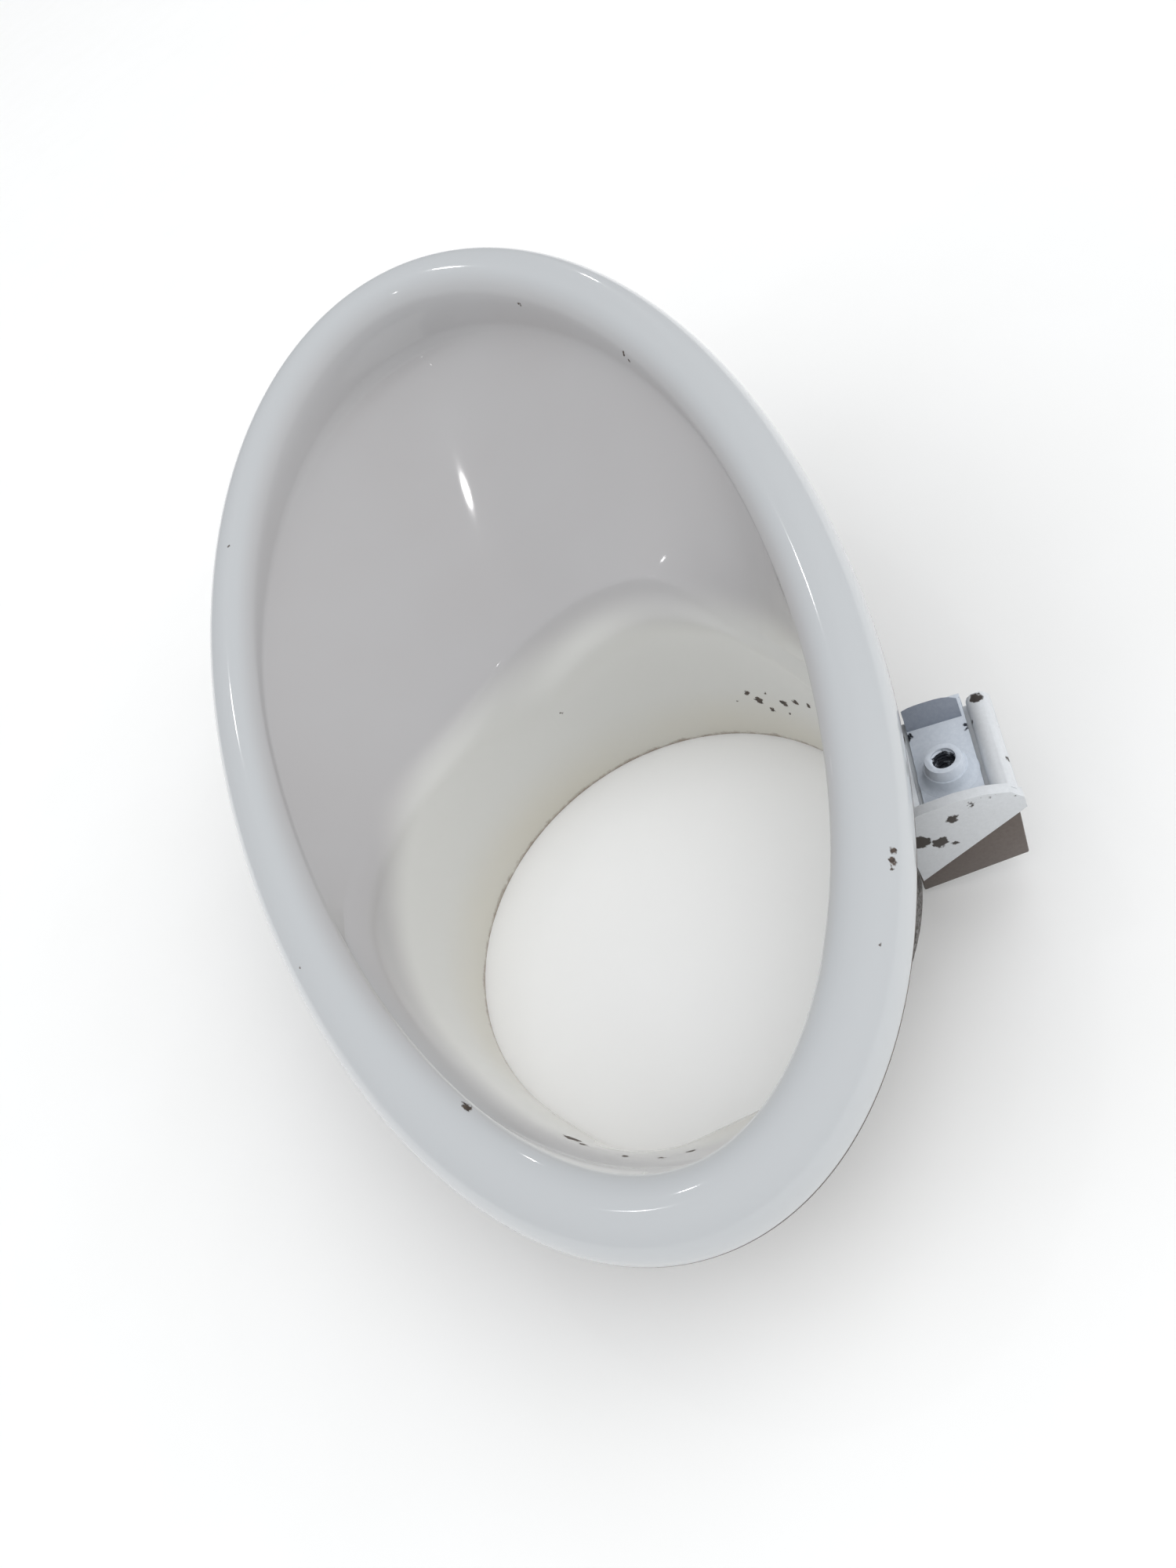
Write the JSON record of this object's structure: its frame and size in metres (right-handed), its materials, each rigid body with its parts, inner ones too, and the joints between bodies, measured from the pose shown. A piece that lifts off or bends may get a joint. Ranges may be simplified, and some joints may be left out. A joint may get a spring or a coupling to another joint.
{
  "type": "lamp bezel",
  "caption": "Oval flared lamp bezel: rolled rim, oblique funnel down to a round throat, and rear brackets with slip-on clip nuts.",
  "frame": {"origin": "middle of the footprint, on the plane of the throat's flat rear edge", "axes": "+Z out of the mouth, parallel to the throat's axis; +X along the oval's long axis, towards its low end; +Y towards the side bracket"},
  "size_m": [0.2475, 0.1449, 0.0841],
  "materials": {
    "painted_shell": "gloss white paint over dark moulded plastic",
    "bracket": "dark plastic with thin white overspray",
    "clip_nut": "spring steel with thin white overspray"
  },
  "bodies": {
    "bezel": {"bezel_shell": "painted_shell", "side_bracket": "bracket", "tail_bracket": "bracket", "left_bracket": "bracket"},
    "side_nut": {"side_clip_nut": "clip_nut"},
    "tail_nut": {"tail_clip_nut": "clip_nut"},
    "left_nut": {"left_clip_nut": "clip_nut"}
  },
  "joints": [
    {"name": "side_nut_slide", "type": "slide", "parent": "bezel", "child": "side_nut", "axis": [-0.9703, 0.2419, 0], "range_m": [0, 0.022]},
    {"name": "tail_nut_slide", "type": "slide", "parent": "bezel", "child": "tail_nut", "axis": [-1, 0, 0], "range_m": [0, 0.022]},
    {"name": "left_nut_slide", "type": "slide", "parent": "bezel", "child": "left_nut", "axis": [-0.9135, -0.4067, 0], "range_m": [0, 0.022]}
  ]
}
